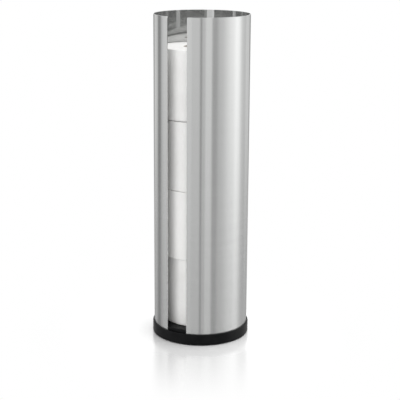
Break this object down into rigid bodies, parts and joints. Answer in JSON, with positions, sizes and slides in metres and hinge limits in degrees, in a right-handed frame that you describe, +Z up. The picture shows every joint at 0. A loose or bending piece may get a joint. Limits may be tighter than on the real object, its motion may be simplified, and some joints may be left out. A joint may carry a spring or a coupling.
{
  "type": "toilet roll storage holder",
  "caption": "Free-standing slotted stainless tube on a black moulded base that stores a stack of toilet rolls, lifted out at the open top.",
  "frame": {"origin": "centre of the base, on the ground under its rubber feet", "axes": "+Z up along the tube; the slot faces -Y; +X is to the right as one faces the slot"},
  "size_m": [0.1386, 0.1386, 0.46],
  "materials": {
    "brushed_stainless": "satin",
    "plain_steel": "satin",
    "black_plastic": "satin",
    "black_rubber": "matte",
    "tissue_paper": "matte",
    "grey_board": "matte"
  },
  "bodies": {
    "holder": {"tube_shell": "brushed_stainless", "shell_brackets": "plain_steel", "base_moulding": "black_plastic", "roll_floor": "black_plastic", "clamp_screws": "plain_steel", "rubber_foot_1": "black_rubber", "rubber_foot_2": "black_rubber", "rubber_foot_3": "black_rubber", "rubber_foot_4": "black_rubber"},
    "roll_1": {"paper_roll_1": "tissue_paper", "roll_core_1": "grey_board"},
    "roll_2": {"paper_roll_2": "tissue_paper", "roll_core_2": "grey_board"},
    "roll_3": {"paper_roll_3": "tissue_paper", "roll_core_3": "grey_board"},
    "roll_4": {"paper_roll_4": "tissue_paper", "roll_core_4": "grey_board"}
  },
  "joints": [
    {"name": "roll_1_lift", "type": "slide", "parent": "holder", "child": "roll_1", "axis": [0, 0, 1], "range_m": [0, 0.455]},
    {"name": "roll_2_lift", "type": "slide", "parent": "roll_1", "child": "roll_2", "axis": [0, 0, 1], "range_m": [0, 0.36]},
    {"name": "roll_3_lift", "type": "slide", "parent": "roll_2", "child": "roll_3", "axis": [0, 0, 1], "range_m": [0, 0.26]},
    {"name": "roll_4_lift", "type": "slide", "parent": "roll_3", "child": "roll_4", "axis": [0, 0, 1], "range_m": [0, 0.16]}
  ]
}
